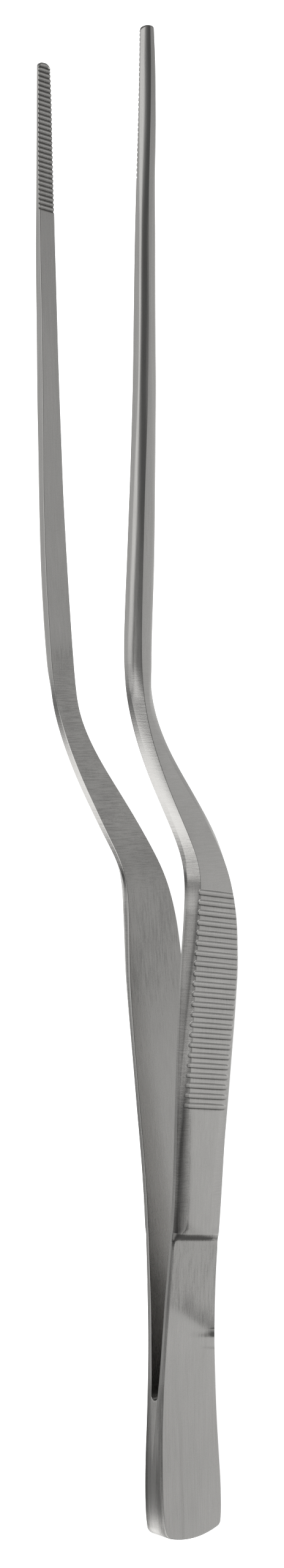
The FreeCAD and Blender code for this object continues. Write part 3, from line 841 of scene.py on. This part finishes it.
def steel(name, weld=False):
    mat = bpy.data.materials.new(name)
    mat.use_nodes = True
    nt = Nodes(mat)
    bsdf = nt.n["Principled BSDF"]
    bsdf.inputs["Metallic"].default_value = 1.0
    co = nt.add("ShaderNodeTexCoord").outputs["Object"]
    mm = nt.mapping(co, (1000, 1000, 1000))
    sep = nt.add("ShaderNodeSeparateXYZ")
    nt.link(mm, sep.inputs[0])
    px = sep.outputs[0]
    # lengthwise brushing
    along = nt.noise(nt.mapping(mm, (0.10, 5.0, 5.0)), 1.0, 3.0, 0.62)
    along2 = nt.noise(nt.mapping(mm, (0.9, 14.0, 14.0)), 1.0, 2.0, 0.6)
    # cross grinding on the ramp
    cross = nt.noise(nt.mapping(mm, (9.0, 0.5, 0.5), (0, 0.35, 0)), 1.0, 2.0, 0.6)
    # fine satin grain
    grain = nt.noise(mm, 8.0, 2.0, 0.65)
    # cloudy variation of the finish
    cloud = nt.noise(nt.mapping(mm, (0.12, 0.3, 0.3)), 1.0, 2.0, 0.5)
    ramp_zone = nt.math("MULTIPLY", nt.maprange(px, -16, -8),
                        nt.maprange(px, 22, 14))
    if not weld:
        polished = nt.add("ShaderNodeAttribute", attribute_name="polish")
        # the handle's narrow sides are ground crosswise too
        handle = nt.math("MULTIPLY", nt.maprange(px, -58, -54),
                         nt.maprange(px, -8, -14))
        handle = nt.math("MULTIPLY", handle, polished.outputs["Fac"])
        ramp_zone = nt.math("MAXIMUM", ramp_zone,
                            nt.math("MULTIPLY", handle, 0.7))
    streak = nt.mix(ramp_zone, along, cross)
    # height for the bump
    h = nt.math("ADD", nt.math("MULTIPLY", streak, 0.5),
                nt.math("ADD", nt.math("MULTIPLY", along2, 0.25),
                        nt.math("MULTIPLY", grain, 0.45)))
    bump = nt.add("ShaderNodeBump")
    bump.inputs["Strength"].default_value = 0.5
    bump.inputs["Distance"].default_value = 0.00002
    nt.link(h, bump.inputs["Height"])
    nt.link(bump.outputs[0], bsdf.inputs["Normal"])
    # colour: a neutral grey, a little streaky
    f = nt.math("ADD", nt.math("MULTIPLY", cloud, 0.24),
                nt.math("ADD", nt.math("MULTIPLY", streak, 0.48),
                        nt.math("MULTIPLY", grain, 0.28)))
    if not weld:
        # painted shade: the shade attribute and the hollow's painted shade darken the colour
        at = nt.add("ShaderNodeAttribute", attribute_name="painted_shade")
        painted_dark = nt.math("ADD", nt.math("MULTIPLY", at.outputs["Fac"], 0.55),
                       hollow_shade(nt, px, sep.outputs[2]))
        # where shade is painted the streaks are also weaker
        even = nt.maprange(painted_dark, 0.0, 0.6, 1.0, 0.3)
        f = nt.math("MULTIPLY", nt.math("SUBTRACT", f, 0.5), even)
        f = nt.math("SUBTRACT", nt.math("ADD", f, 0.5), painted_dark)
    lo, hi = (0.47, 0.465, 0.455), (0.585, 0.58, 0.57)
    if weld:
        lo, hi = (0.45, 0.445, 0.435), (0.56, 0.555, 0.545)
    nt.link(nt.ramp(f, [(0.0, (0.12, 0.118, 0.115)), (0.32, lo), (0.68, hi)]),
            bsdf.inputs["Base Color"])
    r = nt.math("ADD", nt.math("MULTIPLY", cloud, 0.06),
                nt.math("MULTIPLY", streak, 0.08))
    r = nt.math("ADD", r, 0.20)
    if not weld:
        at = nt.add("ShaderNodeAttribute", attribute_name="polish")
        r = nt.math("SUBTRACT", r, nt.math("MULTIPLY", at.outputs["Fac"], 0.10))
    nt.link(r, bsdf.inputs["Roughness"])
    return mat


steel_left = steel("satin_steel_left")
steel_right = steel("satin_steel_right")
steel_weld = steel("weld_steel", weld=True)

# ---------------------------------------------------------------- the legs
for name, side, mat in (("left_leg", 1, steel_left), ("right_leg", -1, steel_right)):
    ob = build_leg(name, side)
    ob.data.materials.append(mat)
    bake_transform(ob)
    half = "left" if side > 0 else "right"
    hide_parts(half + "_butt_half", half + "_spring_leaf", half + "_arm")

weld = build_weld("butt_weld_bead")
weld.data.materials.append(steel_weld)
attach(weld, "butt")
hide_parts("butt_weld")

# ---------------------------------------------------------------- the stage
me = bpy.data.meshes.new("floor")
s = 3.0
me.from_pydata([(-s, -s, 0), (s, -s, 0), (s, s, 0), (-s, s, 0)], [], [(0, 1, 2, 3)])
floor = bpy.data.objects.new("floor", me)
floor.location.z = -0.00005
bpy.context.scene.collection.objects.link(floor)
fm = bpy.data.materials.new("floor_paper")
fm.use_nodes = True
nt = Nodes(fm)
b = nt.n["Principled BSDF"]
b.inputs["Roughness"].default_value = 0.9
b.inputs["Specular IOR Level"].default_value = 0.1
b.inputs["Base Color"].default_value = (0.9, 0.9, 0.9, 1)
b.inputs["Emission Color"].default_value = (1, 1, 1, 1)
b.inputs["Emission Strength"].default_value = 0.85
floor.data.materials.append(fm)
floor.visible_glossy = False


def area(name, loc, target, sx, sy, power, color=(1, 1, 1)):
    data = bpy.data.lights.new(name, "AREA")
    data.shape = "RECTANGLE"
    data.size = sx
    data.size_y = sy
    data.energy = power
    data.color = color
    ob = bpy.data.objects.new(name, data)
    bpy.context.scene.collection.objects.link(ob)
    ob.location = loc
    d = Vector(target) - Vector(loc)
    ob.rotation_euler = d.to_track_quat("-Z", "Y").to_euler()
    return ob


softbox = area("top_softbox", (0.05, 0.05, 1.2), (0, 0, 0), 0.9, 0.9, 2.5)
softbox.visible_glossy = False      # the tent below is what the steel mirrors

# a light tent around the object: bright overhead and at the butt's end, dim
# on the side the camera looks in from and beyond the tips
world = bpy.data.worlds.new("studio")
bpy.context.scene.world = world
world.use_nodes = True
wt = Nodes(world)
bg = wt.n["Background"]
direction = wt.add("ShaderNodeTexCoord").outputs["Generated"]
sep = wt.add("ShaderNodeSeparateXYZ")
wt.link(direction, sep.inputs[0])
turn = wt.math("ARCTAN2", sep.outputs[2], sep.outputs[1])
turn = wt.math("FRACT", wt.math("ADD", wt.math("DIVIDE", turn, 2 * math.pi), 1.0))
TENT = [(0, 0.80), (18, 0.56), (40, 0.56), (60, 0.78), (75, 1.0), (104, 1.0), (112, 0.82),
        (122, 0.45), (132, 0.27), (146, 0.16), (158, 0.12), (185, 0.12),
        (205, 0.45), (220, 0.65),
        (270, 0.63), (300, 0.80), (335, 1.0), (360, 0.80)]
# the overhead light's near edge lies lower towards both ends
slide = wt.math("ABSOLUTE", wt.math("ADD", sep.outputs[0], 0.03))
slide = wt.math("MULTIPLY", wt.math("MINIMUM", wt.math(
    "MULTIPLY", slide, 50 / 360.0), 12 / 360.0), wt.math(
        "MULTIPLY", wt.maprange(turn, 70 / 360.0, 100 / 360.0),
        wt.maprange(turn, 185 / 360.0, 150 / 360.0)))
level = wt.ramp(wt.math("SUBTRACT", turn, slide),
                [(a / 360.0, v) for a, v in TENT])
# towards the butt the light changes, differently at the back, overhead and
# on the near side


def along(stops):
    return wt.ramp(wt.math("ADD", wt.math("MULTIPLY", sep.outputs[0], 0.5), 0.5),
                   [(0.5 + 0.5 * a, v) for a, v in stops])


back = along([(-1.0, 1.2), (-0.45, 1.3), (-0.38, 0.75), (-0.27, 0.34),
              (-0.20, 0.46), (-0.14, 0.62), (-0.10, 0.95), (-0.05, 1.05),
              (0.0, 1.1), (0.05, 1.0), (1.0, 1.0)])
over = along([(-1.0, 0.60), (-0.36, 0.60), (-0.28, 0.50), (-0.20, 0.62),
              (-0.10, 0.80), (-0.02, 0.90), (0.03, 1.0), (1.0, 1.0)])
near = along([(-1.0, 2.4), (-0.30, 2.6), (-0.10, 2.0), (0.05, 1.0), (1.0, 1.0)])
fade = wt.mix(wt.maprange(turn, 48 / 360.0, 76 / 360.0), back, over)
fade = wt.mix(wt.maprange(turn, 130 / 360.0, 146 / 360.0), fade, near)
upper = wt.maprange(sep.outputs[2], -0.25, 0.15)
# below the horizon the table returns less light from far to either side
BELOW = [(-1.0, 0.50), (-0.78, 0.55), (-0.58, 1.25), (-0.35, 1.2), (-0.2, 1.0),
         (0.15, 0.95), (0.35, 0.5), (1.0, 0.35)]
under = along(BELOW)
level = wt.math("MULTIPLY", level, wt.mix(upper, under, fade))
back_x = wt.math("MULTIPLY", sep.outputs[0], -1.0)
lobe = wt.mix(wt.maprange(wt.math("MULTIPLY", sep.outputs[1], -1.0), -0.1, 0.3),
              wt.maprange(back_x, 0.32, 0.52), wt.maprange(back_x, 0.28, 0.42))
level = wt.mix(wt.math("MULTIPLY", upper, lobe), level, 1.42)
level = wt.mix(wt.math("MULTIPLY", upper, wt.maprange(sep.outputs[0], 0.35, 0.75)),
               level, 0.16)
# the backdrop that the camera sees is plain white
seen = wt.add("ShaderNodeLightPath").outputs["Is Camera Ray"]
level = wt.mix(seen, level, 1.0)
wt.link(level, bg.inputs["Strength"])
bg.inputs["Color"].default_value = (1.0, 0.995, 0.985, 1)

scene = bpy.context.scene
scene.view_settings.view_transform = "Standard"
scene.view_settings.look = "None"
scene.view_settings.exposure = 0.0
scene.view_settings.gamma = 1.0

# ---------------------------------------------------------------- the camera
cam_data = bpy.data.cameras.new("camera")
cam_data.sensor_fit = "VERTICAL"
cam_data.sensor_height = 36.0
cam_data.lens = 59.294
cam_data.clip_start = 0.01
cam_data.clip_end = 20.0
cam = bpy.data.objects.new("camera", cam_data)
scene.collection.objects.link(cam)
look = Vector((0.002115, 0.0, 0.011368))
c = Vector((0.00419, -0.76604, 0.64277)).normalized()
alpha = math.radians(0.37329)
roll = -0.006478
upx = Vector((math.cos(alpha), 0, -math.sin(alpha)))
r0 = Vector((-0.00499, -0.64279, -0.76603))
r0 = (r0 - c * r0.dot(c)).normalized()
u0 = c.cross(r0)
if u0.dot(upx) < 0:
    u0 = -u0
right = (r0 * math.cos(roll) + u0 * math.sin(roll)).normalized()
up = (u0 * math.cos(roll) - r0 * math.sin(roll)).normalized()
m = Matrix((
    (right.x, up.x, c.x, 0), (right.y, up.y, c.y, 0), (right.z, up.z, c.z, 0),
    (0, 0, 0, 1)))
cam.matrix_world = Matrix.Translation(look + c * 0.34665) @ m
scene.camera = cam
